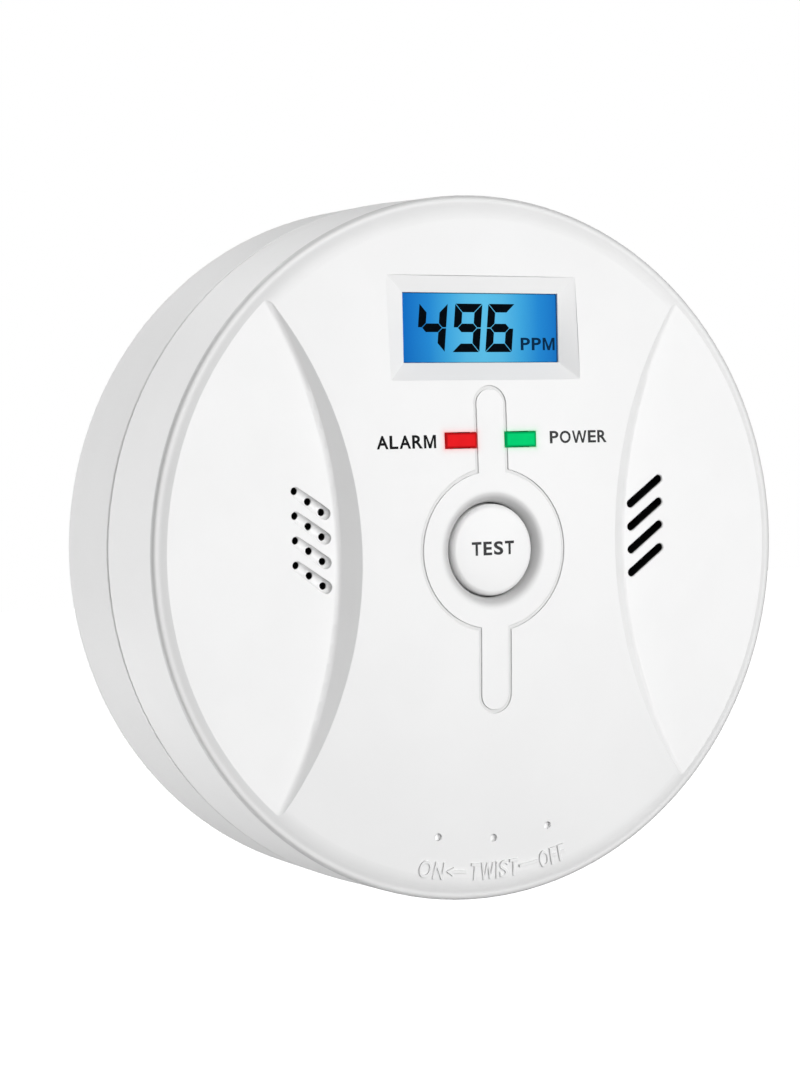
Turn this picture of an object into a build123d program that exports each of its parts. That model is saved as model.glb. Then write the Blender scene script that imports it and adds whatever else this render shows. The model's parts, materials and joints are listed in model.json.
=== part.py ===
"""Round wall-mounted carbon monoxide detector, in millimetres.

Frame: the origin is the centre of the base's flat back, which lies on the wall. +Z is up, and the
face looks towards -Y. A height is a distance from the wall towards the front, so y = -height.
"""

from build123d import *
import os
from math import cos, radians, sin, sqrt

os.makedirs("parts", exist_ok=True)

# ---------------------------------------------------------------- driving dimensions
# Outline of the body
BASE_RADIUS = 51.1
BASE_HEIGHT = 19.5
PARTING_RADIUS = 50.75
PARTING_GAP = 0.3
REAR_ROUND = 5.0
RIM_RADIUS = 50.0
RIM_HEIGHT = 35.0
FACE_RADIUS = 47.6
FACE_HEIGHT = 38.3
DOME_DROP = 2.4
WALL = 2.0

# Lens-shaped flats at the left and right of the face
LENS_CENTRE = 90.0
LENS_RADIUS = 67.0
LENS_FLOOR = 35.6
LENS_SLOPE = 1.15
LENS_FILLET = 1.2

# Face features
WELL_ROUND = 1.4
BUTTON_RADIUS = 6.5
BUTTON_GAP = 0.25
BUTTON_TOP = 38.2
BUTTON_ROUND = 0.75
RING_RADIUS = 11.35
STEM_HALF_WIDTH = 2.4
STEM_END = 22.9
GROOVE_WIDTH = 0.5
GROOVE_DEPTH = 0.15
VENT_ANGLE = 35.5
VENT_ROWS = 4
VENT_PITCH = 3.37
VENT_CENTRE_X = 27.1
VENT_CENTRE_Z = 2.4
VENT_LENGTH = 7.1
VENT_GROOVE_RADIUS = 0.85
VENT_HOLE_STEP = 2.6
VENT_HOLE_RADIUS = 0.52
SOUND_SLOT_LENGTH = 7.2
SOUND_SLOT_WIDTH = 1.2
DIMPLE_RADIUS = 0.55
DIMPLE_DEPTH = 0.5
DIMPLE_CIRCLE = 41.1
DIMPLE_TURN = 12.5
LIGHT_X = 4.8
LIGHT_Z = 15.5
LIGHT_WIDTH = 4.9
LIGHT_TALL = 2.1
LIGHT_TOP = 38.2

# Display window: the glass opening and the outer edge of its sloping frame
GLASS_HALF_WIDTH = 12.5
GLASS_LOW = 26.4
GLASS_HIGH = 36.2
FRAME_HALF_WIDTH = 15.2
FRAME_LOW = 23.95
FRAME_HIGH = 38.55
FRAME_FLOOR = 36.0
LIP = 0.3
PANEL_WIDTH = 27.8
PANEL_TALL = 12.9
PANEL_REAR = 32.9
PANEL_FRONT = FRAME_FLOOR - LIP - 0.05
DISPLAY_Z = (GLASS_HIGH + GLASS_LOW) / 2

# Inside the head
CHASSIS_REAR = 20.0
CHASSIS_FRONT = 21.6
BOARD_REAR = 22.9
BOARD_FRONT = 24.5
BOARD_RADIUS = 44.0
BOARD_HALF_WIDTH = 36.0
CHASSIS_SCREW_X = 39.5
CHASSIS_SCREW_Z = 11.0
BOARD_SCREW_X = 32.0
BOARD_SCREW_Z = 22.0
SCREW_RADIUS = 1.1
SCREW_HEAD_RADIUS = 2.2
SCREW_HEAD_HEIGHT = 1.4

# Battery tray
CELL_RADIUS = 7.1
CELL_LENGTH = 50.5
CELL_HEIGHT = 11.2
CELL_PITCH = 15.4
NUB_RADIUS = 2.75
NUB_LENGTH = 1.3
TRAY_HALF_LENGTH = 30.0
TRAY_HALF_WIDTH = 24.6
TRAY_REAR = 3.2
TRAY_FLOOR = 18.6
BAY_HALF_LENGTH = 28.4
BAY_HALF_WIDTH = 23.2
PLATE_THICKNESS = 0.4

# Mounting base
BASE_FLOOR = 2.4
BASE_INNER_RADIUS = 48.75
WALL_SLOT_X = 38.0
WALL_SLOT_RADIUS = 2.1
WALL_SLOT_LENGTH = 8.2
BACK_HUB_RADIUS = 14.0
BACK_RIM_RADIUS = 43.5
BACK_RECESS = 0.8
BACK_RIBS = 8
BACK_RIB_WIDTH = 2.0

# Twist lock: three tabs on the chassis ring pass behind three lugs in the base
LOCK_ANGLES = (90, 210, 330)
LOCK_TURN = 15.0
TAB_SPAN = 12.0
STOP_SPAN = 2.0
STOP_CLEARANCE = 0.2
RING_OUTER = 46.5
RING_INNER = 44.6
RING_REAR = 11.5
TAB_RADIUS = 48.2
TAB_REAR = 12.0
TAB_FRONT = 14.2
LUG_INNER = 46.9
LUG_REAR = 14.6
LUG_FRONT = 16.4

# Parts behind the face openings
SENSOR_X = -27.2
SENSOR_Z = 2.4
SENSOR_RADIUS = 7.0
BUZZER_X = 26.2
BUZZER_Z = 2.4
BUZZER_RADIUS = 9.2
SENSOR_REAR = 24.9
SENSOR_FRONT = 32.4
BUZZER_FRONT = 32.9
BUZZER_CAVITY = 25.6
PIEZO_REAR = 27.6
PLUNGER_FRONT = 29.0
HOLDER_SEAT = 30.1
HOLDER_FRONT = 33.4
SPACER_FRONT = 29.5
LIGHT_FLANGE_WIDTH = 5.7
LIGHT_FLANGE_TALL = 2.9
LEAD_RADIUS = 0.55
LEAD_HOLE_X = 33.0
TAB_SLOT_HEIGHT = 12.4
PIN_RADIUS = 0.3
PIN_CLEARANCE = 0.1
PIN_TAIL = 0.8

# ---------------------------------------------------------------- planes and shared formulas
DOME_RADIUS = (FACE_RADIUS**2 + DOME_DROP**2) / (2 * DOME_DROP)


def dome_height(radius, drop=0.0):
    """Height of the domed face, or of a surface parallel to it, at a distance from the centre."""
    return FACE_HEIGHT - DOME_RADIUS + sqrt((DOME_RADIUS - drop) ** 2 - radius**2)


def at_height(height):
    """Plane that faces the front. Its local axes are X and Z."""
    return Plane.XZ.offset(height)


def section_at(x=0.0, z=0.0, facing=1):
    """Half section through an axis along Y, on its +X or -X side. Local axes are radius and height."""
    return Plane(origin=(x, 0, z), x_dir=(facing, 0, 0), z_dir=(0, 0, -facing))


def axis_at(x=0.0, z=0.0):
    """Axis along Y through a point of the face."""
    return Axis((x, 0, z), (0, 1, 0))


def polar(radius, angle):
    """Point of a face plane at a radius and an angle in degrees."""
    return (radius * cos(radians(angle)), radius * sin(radians(angle)))


def circles_of_radius(piece, radius):
    """The piece's circular edges of a given radius."""
    circles = piece.edges().filter_by(GeomType.CIRCLE)
    return circles.filter_by(lambda edge: abs(edge.radius - radius) < 0.01)


def front_edge_round_axis(piece, radius):
    """The front-most edge that runs round the Y axis at a given radius."""

    def lies_on_circle(edge):
        points = [edge @ share for share in (0.0, 0.2, 0.4, 0.6, 0.8)]
        return all(abs(sqrt(p.X**2 + p.Z**2) - radius) < 0.01 for p in points)

    level_edges = piece.edges().filter_by(lambda edge: edge.bounding_box().size.Y < 0.02)
    return level_edges.filter_by(lies_on_circle).sort_by(Axis.Y)[0]


def save(piece, label):
    """Label a finished piece and write it to its own file."""
    piece.part.label = label
    export_step(piece.part, f"parts/{label}.step")


# ---------------------------------------------------------------- mounting base
with BuildPart() as mounting_base:
    with BuildSketch(section_at()):
        Polygon(
            (0, 0),
            (BASE_RADIUS, 0),
            (PARTING_RADIUS, BASE_HEIGHT),
            (BASE_INNER_RADIUS, BASE_HEIGHT),
            (BASE_INNER_RADIUS, BASE_FLOOR),
            (0, BASE_FLOOR),
            align=None,
        )
    revolve(axis=Axis.Y)
    back_edge = mounting_base.edges().group_by(Axis.Y)[-1]
    fillet(back_edge, REAR_ROUND)
    mouth_edges = mounting_base.edges().filter_by(GeomType.CIRCLE).group_by(Axis.Y)[0]
    fillet(mouth_edges.sort_by(SortBy.RADIUS)[-1], 0.3)
    # Lugs that hold the head's tabs
    with BuildSketch(at_height(LUG_REAR)):
        for angle in LOCK_ANGLES:
            start = angle - TAB_SPAN / 2
            with BuildLine():
                CenterArc((0, 0), LUG_INNER, start, TAB_SPAN)
                CenterArc((0, 0), BASE_INNER_RADIUS + 0.2, start, TAB_SPAN)
                Line(polar(LUG_INNER, start), polar(BASE_INNER_RADIUS + 0.2, start))
                Line(polar(LUG_INNER, start + TAB_SPAN), polar(BASE_INNER_RADIUS + 0.2, start + TAB_SPAN))
            make_face()
    extrude(amount=LUG_FRONT - LUG_REAR)
    # End stops of the twist: ON clockwise of each lug, OFF a lock turn away from it
    with BuildSketch(at_height(RING_REAR - 0.5)):
        for angle in LOCK_ANGLES:
            on_stop = angle - TAB_SPAN / 2 - STOP_CLEARANCE - STOP_SPAN
            off_stop = angle + TAB_SPAN / 2 + LOCK_TURN + STOP_CLEARANCE
            for start in (on_stop, off_stop):
                end = start + STOP_SPAN
                with BuildLine():
                    CenterArc((0, 0), LUG_INNER, start, STOP_SPAN)
                    CenterArc((0, 0), BASE_INNER_RADIUS + 0.2, start, STOP_SPAN)
                    Line(polar(LUG_INNER, start), polar(BASE_INNER_RADIUS + 0.2, start))
                    Line(polar(LUG_INNER, end), polar(BASE_INNER_RADIUS + 0.2, end))
                make_face()
    extrude(amount=LUG_FRONT - RING_REAR + 0.5)
    # Shallow recess in the back between a hub and a rim, with spokes and a pad round each slot
    with BuildSketch(at_height(0)):
        Circle(BACK_RIM_RADIUS)
        Circle(BACK_HUB_RADIUS, mode=Mode.SUBTRACT)
        with PolarLocations((BACK_RIM_RADIUS + BACK_HUB_RADIUS) / 2, BACK_RIBS, start_angle=22.5):
            Rectangle(BACK_RIM_RADIUS - BACK_HUB_RADIUS + 2, BACK_RIB_WIDTH, mode=Mode.SUBTRACT)
        with Locations((-WALL_SLOT_X, 0), (WALL_SLOT_X, 0)):
            SlotOverall(WALL_SLOT_LENGTH + 5, 2 * WALL_SLOT_RADIUS + 5, mode=Mode.SUBTRACT)
    extrude(amount=BACK_RECESS, mode=Mode.SUBTRACT)
    # Slots for the two wall screws
    with BuildSketch(at_height(0)):
        with Locations((-WALL_SLOT_X, 0), (WALL_SLOT_X, 0)):
            SlotOverall(WALL_SLOT_LENGTH, 2 * WALL_SLOT_RADIUS)
    extrude(amount=BASE_FLOOR, mode=Mode.SUBTRACT)
save(mounting_base, "mounting_base")

# ---------------------------------------------------------------- front cover
# The hollow of the cover: a domed space that stays one wall behind the face and behind the flats
with BuildPart() as cover_hollow:
    with BuildSketch(section_at()):
        with BuildLine():
            inner_edge = (RIM_RADIUS - WALL, dome_height(RIM_RADIUS - WALL, WALL))
            Polyline(
                (0, FACE_HEIGHT - WALL),
                (0, BASE_HEIGHT - 1),
                (PARTING_RADIUS - WALL, BASE_HEIGHT - 1),
                inner_edge,
            )
            half = inner_edge[0] / 2
            ThreePointArc(inner_edge, (half, dome_height(half, WALL)), (0, FACE_HEIGHT - WALL))
        make_face()
    revolve(axis=Axis.Y)
    for side in (-1, 1):
        with BuildSketch(section_at(side * LENS_CENTRE, facing=side)):
            pad_radius = LENS_RADIUS + WALL / 2
            pad_top = FACE_HEIGHT + 1
            pad_rise = pad_top - LENS_FLOOR + WALL
            Polygon(
                (0, LENS_FLOOR - WALL),
                (pad_radius, LENS_FLOOR - WALL),
                (pad_radius + pad_rise * LENS_SLOPE, pad_top),
                (0, pad_top),
                align=None,
            )
        revolve(axis=axis_at(side * LENS_CENTRE), mode=Mode.SUBTRACT)

# The keyhole-shaped groove around the button, as deep everywhere as the groove's depth
with BuildPart() as keyhole_groove:
    with BuildSketch(at_height(LENS_FLOOR)):
        Circle(RING_RADIUS + GROOVE_WIDTH / 2)
        SlotOverall(2 * STEM_END + GROOVE_WIDTH, 2 * STEM_HALF_WIDTH + GROOVE_WIDTH, rotation=90)
        Circle(RING_RADIUS - GROOVE_WIDTH / 2, mode=Mode.SUBTRACT)
        SlotOverall(
            2 * STEM_END - GROOVE_WIDTH,
            2 * STEM_HALF_WIDTH - GROOVE_WIDTH,
            rotation=90,
            mode=Mode.SUBTRACT,
        )
    extrude(amount=FACE_HEIGHT - LENS_FLOOR + 1)
    with BuildSketch(section_at()):
        with BuildLine():
            reach = STEM_END + 5
            Polyline((0, FACE_HEIGHT - GROOVE_DEPTH), (0, LENS_FLOOR - 1), (reach, LENS_FLOOR - 1))
            Line((reach, LENS_FLOOR - 1), (reach, dome_height(reach, GROOVE_DEPTH)))
            ThreePointArc(
                (reach, dome_height(reach, GROOVE_DEPTH)),
                (reach / 2, dome_height(reach / 2, GROOVE_DEPTH)),
                (0, FACE_HEIGHT - GROOVE_DEPTH),
            )
        make_face()
    revolve(axis=Axis.Y, mode=Mode.SUBTRACT)

with BuildPart() as front_cover:
    # Side wall, rim ledge, slope up to the face and the dome
    with BuildSketch(section_at()) as cover_section:
        with BuildLine():
            ledge = (RIM_RADIUS - 0.9, RIM_HEIGHT + 0.05)
            face_edge = (FACE_RADIUS, dome_height(FACE_RADIUS))
            Polyline(
                (0, FACE_HEIGHT),
                (0, BASE_HEIGHT + PARTING_GAP),
                (PARTING_RADIUS, BASE_HEIGHT + PARTING_GAP),
                (RIM_RADIUS, RIM_HEIGHT),
                ledge,
                face_edge,
            )
            half = FACE_RADIUS / 2
            ThreePointArc(face_edge, (half, dome_height(half)), (0, FACE_HEIGHT))
        make_face()
        for corner, corner_round in (
            ((PARTING_RADIUS, BASE_HEIGHT + PARTING_GAP), 0.4),
            ((RIM_RADIUS, RIM_HEIGHT), 0.45),
            (ledge, 1.2),
            (face_edge, 4.5),
        ):
            fillet(cover_section.vertices().sort_by_distance((*corner, 0))[0], corner_round)
    revolve(axis=Axis.Y)
    # Lens-shaped flats, each with a conical slope that meets the dome
    for side in (-1, 1):
        with BuildSketch(section_at(side * LENS_CENTRE, facing=side)) as lens_section:
            lens_rise = FACE_HEIGHT + 1 - LENS_FLOOR
            Polygon(
                (0, LENS_FLOOR),
                (LENS_RADIUS, LENS_FLOOR),
                (LENS_RADIUS + lens_rise * LENS_SLOPE, FACE_HEIGHT + 1),
                (0, FACE_HEIGHT + 1),
                align=None,
            )
            foot = lens_section.vertices().sort_by_distance((LENS_RADIUS, LENS_FLOOR, 0))[0]
            fillet(foot, LENS_FILLET)
        revolve(axis=axis_at(side * LENS_CENTRE), mode=Mode.SUBTRACT)
    add(cover_hollow.part, mode=Mode.SUBTRACT)
    # Guide ring for the button and bosses for the chassis screws, under the face
    with BuildSketch(at_height(LENS_FLOOR - WALL)):
        Circle(BUTTON_RADIUS + BUTTON_GAP + 2.5)
    extrude(amount=WALL + 1)
    with BuildSketch(at_height(CHASSIS_FRONT)):
        with GridLocations(2 * CHASSIS_SCREW_X, 2 * CHASSIS_SCREW_Z, 2, 2):
            Circle(3.0)
    extrude(amount=dome_height(CHASSIS_SCREW_X, WALL) - CHASSIS_FRONT + 0.3)
    with BuildSketch(at_height(CHASSIS_FRONT)):
        with GridLocations(2 * CHASSIS_SCREW_X, 2 * CHASSIS_SCREW_Z, 2, 2):
            Circle(SCREW_RADIUS + 0.05)
    extrude(amount=8.0, mode=Mode.SUBTRACT)
    # Button hole with a rolled edge
    with BuildSketch(at_height(LENS_FLOOR - WALL)):
        Circle(BUTTON_RADIUS + BUTTON_GAP)
    extrude(amount=FACE_HEIGHT - LENS_FLOOR + WALL + 1, mode=Mode.SUBTRACT)
    fillet(front_edge_round_axis(front_cover, BUTTON_RADIUS + BUTTON_GAP), WELL_ROUND)
    add(keyhole_groove.part, mode=Mode.SUBTRACT)
    # Display: frame that slopes from a straight-edged mouth down to the glass, window and glass seat
    mouth_low = dome_height(sqrt(FRAME_HALF_WIDTH**2 + FRAME_LOW**2))
    mouth_high = dome_height(sqrt(FRAME_HALF_WIDTH**2 + FRAME_HIGH**2))
    mouth = Plane(
        origin=(0, -(mouth_low + mouth_high) / 2, (FRAME_LOW + FRAME_HIGH) / 2),
        x_dir=(1, 0, 0),
        z_dir=(0, FRAME_LOW - FRAME_HIGH, mouth_low - mouth_high),
    )
    mouth_tall = sqrt((FRAME_HIGH - FRAME_LOW) ** 2 + (mouth_low - mouth_high) ** 2)
    with BuildSketch(at_height(FRAME_FLOOR)):
        with Locations((0, DISPLAY_Z)):
            Rectangle(2 * GLASS_HALF_WIDTH, GLASS_HIGH - GLASS_LOW)
    with BuildSketch(mouth):
        Rectangle(2 * FRAME_HALF_WIDTH, mouth_tall)
    loft(ruled=True, mode=Mode.SUBTRACT)
    with BuildSketch(mouth) as mouth_outline:
        Rectangle(2 * FRAME_HALF_WIDTH, mouth_tall)
    extrude(mouth_outline.sketch, amount=2, dir=(0, -1, 0), mode=Mode.SUBTRACT)
    with BuildSketch(at_height(LENS_FLOOR - WALL - 3)):
        with Locations((0, DISPLAY_Z)):
            Rectangle(PANEL_WIDTH + 0.6, PANEL_TALL + 0.5)
    extrude(amount=FRAME_FLOOR - LIP - LENS_FLOOR + WALL + 3, mode=Mode.SUBTRACT)
    with BuildSketch(at_height(LENS_FLOOR - WALL)):
        with Locations((0, DISPLAY_Z)):
            Rectangle(2 * GLASS_HALF_WIDTH, GLASS_HIGH - GLASS_LOW)
        with Locations((-LIGHT_X, LIGHT_Z), (LIGHT_X, LIGHT_Z)):
            Rectangle(LIGHT_WIDTH + 0.2, LIGHT_TALL + 0.2)
    extrude(amount=FACE_HEIGHT - LENS_FLOOR + WALL, mode=Mode.SUBTRACT)
    # Gas vents on the left: rounded grooves that run down to the right and get deeper, three holes in each
    run_x, run_z = cos(radians(VENT_ANGLE)), -sin(radians(VENT_ANGLE))
    reach = VENT_LENGTH / 2 - VENT_GROOVE_RADIUS
    for row in range(VENT_ROWS):
        row_z = VENT_CENTRE_Z + (VENT_ROWS / 2 - 0.5 - row) * VENT_PITCH
        start = Vector(-VENT_CENTRE_X - reach * run_x, -LENS_FLOOR - 0.5, row_z - reach * run_z)
        finish = Vector(-VENT_CENTRE_X + reach * run_x, -LENS_FLOOR - 0.05, row_z + reach * run_z)
        with BuildSketch(Plane(origin=start, z_dir=finish - start)):
            Circle(VENT_GROOVE_RADIUS)
        extrude(amount=(finish - start).length, mode=Mode.SUBTRACT)
        with Locations(start, finish):
            Sphere(VENT_GROOVE_RADIUS, mode=Mode.SUBTRACT)
        with BuildSketch(at_height(LENS_FLOOR - WALL - 1)):
            for step in (-1, 0, 1):
                along = step * VENT_HOLE_STEP - 0.2
                with Locations((-VENT_CENTRE_X + along * run_x, row_z + along * run_z)):
                    Circle(VENT_HOLE_RADIUS)
        extrude(amount=WALL + 2, mode=Mode.SUBTRACT)
    # Sound slots on the right, running up to the right
    for row in range(VENT_ROWS):
        row_z = VENT_CENTRE_Z + (VENT_ROWS / 2 - 0.5 - row) * VENT_PITCH
        with BuildSketch(at_height(LENS_FLOOR - WALL - 1)):
            with Locations((VENT_CENTRE_X, row_z)):
                SlotOverall(SOUND_SLOT_LENGTH, SOUND_SLOT_WIDTH, rotation=VENT_ANGLE)
        extrude(amount=WALL + 2, mode=Mode.SUBTRACT)
    slot_mouths = front_cover.edges().filter_by_position(Axis.Y, -LENS_FLOOR - 0.01, -LENS_FLOOR + 0.01)
    slot_mouths = slot_mouths.filter_by_position(Axis.X, 23, 31).filter_by(
        lambda edge: edge.length < SOUND_SLOT_LENGTH
    )
    fillet(slot_mouths, 0.2)
    # Three position dimples above the ON and OFF marks
    with BuildSketch(at_height(dome_height(DIMPLE_CIRCLE) - DIMPLE_DEPTH)):
        for angle in (-90 - DIMPLE_TURN, -90, -90 + DIMPLE_TURN):
            with Locations(polar(DIMPLE_CIRCLE, angle)):
                Circle(DIMPLE_RADIUS)
    extrude(amount=2 * DIMPLE_DEPTH, mode=Mode.SUBTRACT)
save(front_cover, "front_cover")

# ---------------------------------------------------------------- rear chassis
with BuildPart() as rear_chassis:
    with BuildSketch(at_height(CHASSIS_REAR)):
        Circle(PARTING_RADIUS - WALL - 0.4)
    extrude(amount=CHASSIS_FRONT - CHASSIS_REAR)
    # Bayonet ring with its tabs
    with BuildSketch(at_height(RING_REAR)):
        Circle(RING_OUTER)
        Circle(RING_INNER, mode=Mode.SUBTRACT)
    extrude(amount=CHASSIS_REAR - RING_REAR)
    with BuildSketch(at_height(TAB_REAR)):
        for angle in LOCK_ANGLES:
            start = angle - TAB_SPAN / 2
            with BuildLine():
                CenterArc((0, 0), RING_INNER + 0.5, start, TAB_SPAN)
                CenterArc((0, 0), TAB_RADIUS, start, TAB_SPAN)
                Line(polar(RING_INNER + 0.5, start), polar(TAB_RADIUS, start))
                Line(polar(RING_INNER + 0.5, start + TAB_SPAN), polar(TAB_RADIUS, start + TAB_SPAN))
            make_face()
    extrude(amount=TAB_FRONT - TAB_REAR)
    # Battery tray, open towards the wall
    with BuildSketch(at_height(TRAY_REAR)):
        RectangleRounded(2 * TRAY_HALF_LENGTH, 2 * TRAY_HALF_WIDTH, 2.0)
    extrude(amount=CHASSIS_REAR - TRAY_REAR)
    with BuildSketch(at_height(TRAY_REAR)):
        Rectangle(2 * BAY_HALF_LENGTH, 2 * BAY_HALF_WIDTH)
    extrude(amount=TRAY_FLOOR - TRAY_REAR, mode=Mode.SUBTRACT)
    # Low ribs between the cells
    with BuildSketch(at_height(TRAY_FLOOR - 6)):
        with Locations((0, -CELL_PITCH / 2), (0, CELL_PITCH / 2)):
            Rectangle(2 * BAY_HALF_LENGTH - 12, 0.8)
    extrude(amount=6)
    # Standoffs for the board, their pilot holes and the holes of the chassis screws
    with BuildSketch(at_height(CHASSIS_FRONT)):
        with GridLocations(2 * BOARD_SCREW_X, 2 * BOARD_SCREW_Z, 2, 2):
            Circle(2.6)
    extrude(amount=BOARD_REAR - CHASSIS_FRONT)
    with BuildSketch(at_height(CHASSIS_REAR + 0.3)):
        with GridLocations(2 * BOARD_SCREW_X, 2 * BOARD_SCREW_Z, 2, 2):
            Circle(SCREW_RADIUS + 0.05)
    extrude(amount=BOARD_REAR - CHASSIS_REAR, mode=Mode.SUBTRACT)
    with BuildSketch(at_height(CHASSIS_REAR)):
        with GridLocations(2 * CHASSIS_SCREW_X, 2 * CHASSIS_SCREW_Z, 2, 2):
            Circle(SCREW_RADIUS + 0.2)
    extrude(amount=CHASSIS_FRONT - CHASSIS_REAR, mode=Mode.SUBTRACT)
    # Slots in the tray's ends for the solder tabs, and holes for the leads
    with BuildSketch(Plane.YZ.offset(-TRAY_HALF_LENGTH)):
        with Locations((-TAB_SLOT_HEIGHT, -CELL_PITCH)):
            Rectangle(0.8, 3.0)
    extrude(amount=TRAY_HALF_LENGTH - BAY_HALF_LENGTH, mode=Mode.SUBTRACT)
    with BuildSketch(Plane.YZ.offset(BAY_HALF_LENGTH)):
        with Locations((-TAB_SLOT_HEIGHT, CELL_PITCH)):
            Rectangle(0.8, 3.0)
    extrude(amount=TRAY_HALF_LENGTH - BAY_HALF_LENGTH, mode=Mode.SUBTRACT)
    with BuildSketch(at_height(CHASSIS_REAR)):
        with Locations((LEAD_HOLE_X, CELL_PITCH), (-LEAD_HOLE_X, -CELL_PITCH)):
            Circle(1.2)
    extrude(amount=CHASSIS_FRONT - CHASSIS_REAR, mode=Mode.SUBTRACT)
save(rear_chassis, "rear_chassis")

# ---------------------------------------------------------------- test button and its switch
with BuildPart() as test_button:
    flange_front = LENS_FLOOR - WALL - 0.1
    cap_floor = BUTTON_TOP - 1.6
    crown_edge = BUTTON_TOP - 0.35
    with BuildSketch(section_at()):
        with BuildLine():
            Polyline(
                (0, BUTTON_TOP),
                (0, PLUNGER_FRONT),
                (1.6, PLUNGER_FRONT),
                (1.6, cap_floor),
                (5.0, cap_floor),
                (5.0, flange_front - 1.0),
                (8.0, flange_front - 1.0),
                (8.0, flange_front),
                (BUTTON_RADIUS, flange_front),
                (BUTTON_RADIUS, crown_edge),
            )
            crown_middle = (BUTTON_RADIUS / 2, BUTTON_TOP - (BUTTON_TOP - crown_edge) / 4)
            ThreePointArc((BUTTON_RADIUS, crown_edge), crown_middle, (0, BUTTON_TOP))
        make_face()
    revolve(axis=Axis.Y)
    fillet(front_edge_round_axis(test_button, BUTTON_RADIUS), BUTTON_ROUND)
save(test_button, "test_button")

with BuildPart() as tact_switch:
    with BuildSketch(at_height(BOARD_FRONT)):
        Rectangle(6.2, 6.2)
    extrude(amount=3.5)
    fillet(tact_switch.edges().filter_by(Axis.Y), 0.4)
    with BuildSketch(at_height(BOARD_FRONT + 2.1)):
        Circle(1.85)
    extrude(amount=1.4, mode=Mode.SUBTRACT)
    with BuildSketch(at_height(BOARD_FRONT)):
        with GridLocations(7.4, 4.5, 2, 2):
            Rectangle(1.4, 0.7)
    extrude(amount=0.3)
save(tact_switch, "tact_switch")

with BuildPart() as tact_plunger:
    plunger_rear = BOARD_FRONT + 2.7
    with BuildSketch(at_height(plunger_rear)):
        Circle(1.75)
    extrude(amount=PLUNGER_FRONT - plunger_rear)
    fillet(tact_plunger.edges().group_by(Axis.Y)[-1], 0.2)
save(tact_plunger, "tact_plunger")

# ---------------------------------------------------------------- circuit board
LED_PIN_X = (-LIGHT_X - 1.27, -LIGHT_X + 1.27, LIGHT_X - 1.27, LIGHT_X + 1.27)
SENSOR_PINS = tuple(
    (SENSOR_X + polar(4.5, angle)[0], SENSOR_Z + polar(4.5, angle)[1]) for angle in (90, 210, 330)
)
BUZZER_PINS = ((BUZZER_X - 3.8, BUZZER_Z), (BUZZER_X + 3.8, BUZZER_Z))

with BuildPart() as circuit_board:
    with BuildSketch(at_height(BOARD_REAR)):
        Circle(BOARD_RADIUS)
        Rectangle(2 * BOARD_HALF_WIDTH, 2 * BOARD_RADIUS, mode=Mode.INTERSECT)
        with GridLocations(2 * BOARD_SCREW_X, 2 * BOARD_SCREW_Z, 2, 2):
            Circle(SCREW_RADIUS + 0.2, mode=Mode.SUBTRACT)
        for x in LED_PIN_X:
            with Locations((x, LIGHT_Z)):
                Circle(PIN_RADIUS + PIN_CLEARANCE, mode=Mode.SUBTRACT)
        for x, z in SENSOR_PINS + BUZZER_PINS:
            with Locations((x, z)):
                Circle(PIN_RADIUS + PIN_CLEARANCE, mode=Mode.SUBTRACT)
    extrude(amount=BOARD_FRONT - BOARD_REAR)
save(circuit_board, "circuit_board")

# ---------------------------------------------------------------- display
with BuildPart() as lcd_panel:
    with BuildSketch(at_height(PANEL_REAR)):
        with Locations((0, DISPLAY_Z)):
            Rectangle(PANEL_WIDTH, PANEL_TALL)
    extrude(amount=1.0)
    with BuildSketch(at_height(PANEL_REAR + 1.0)):
        with Locations((0, DISPLAY_Z + 0.6)):
            Rectangle(PANEL_WIDTH, PANEL_TALL - 1.2)
    extrude(amount=PANEL_FRONT - PANEL_REAR - 1.0)
save(lcd_panel, "lcd_panel")

with BuildPart() as lcd_backlight:
    backlight_rear = HOLDER_SEAT + 0.1
    with BuildSketch(at_height(backlight_rear)):
        with Locations((0, DISPLAY_Z + 0.8)):
            Rectangle(27.4, 11.0)
    extrude(amount=PANEL_REAR - backlight_rear - 0.05)
    fillet(lcd_backlight.edges().filter_by(Axis.Y), 0.6)
save(lcd_backlight, "lcd_backlight")

with BuildPart() as lcd_holder:
    with BuildSketch(at_height(BOARD_FRONT)):
        with Locations((0, DISPLAY_Z)):
            RectangleRounded(31.0, 16.2, 1.0)
    extrude(amount=HOLDER_FRONT - BOARD_FRONT)
    with BuildSketch(at_height(HOLDER_SEAT)):
        with Locations((0, DISPLAY_Z)):
            Rectangle(28.1, 13.3)
    extrude(amount=HOLDER_FRONT - HOLDER_SEAT, mode=Mode.SUBTRACT)
    with BuildSketch(at_height(BOARD_FRONT)):
        with Locations((0, DISPLAY_Z + 1.0)):
            Rectangle(27.0, 10.0)
    extrude(amount=28.6 - BOARD_FRONT, mode=Mode.SUBTRACT)
    with BuildSketch(at_height(BOARD_FRONT)):
        with Locations((0, DISPLAY_Z - 5.75)):
            Rectangle(25.4, 1.4)
    extrude(amount=HOLDER_SEAT - BOARD_FRONT, mode=Mode.SUBTRACT)
save(lcd_holder, "lcd_holder")

# Rubber strip that carries the display's signals from the board to the glass
with BuildPart() as lcd_connector:
    with BuildSketch(at_height(BOARD_FRONT)):
        with Locations((0, DISPLAY_Z - 5.75)):
            Rectangle(25.0, 1.1)
    extrude(amount=PANEL_REAR - BOARD_FRONT)
save(lcd_connector, "lcd_connector")

# ---------------------------------------------------------------- indicator lights


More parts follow.
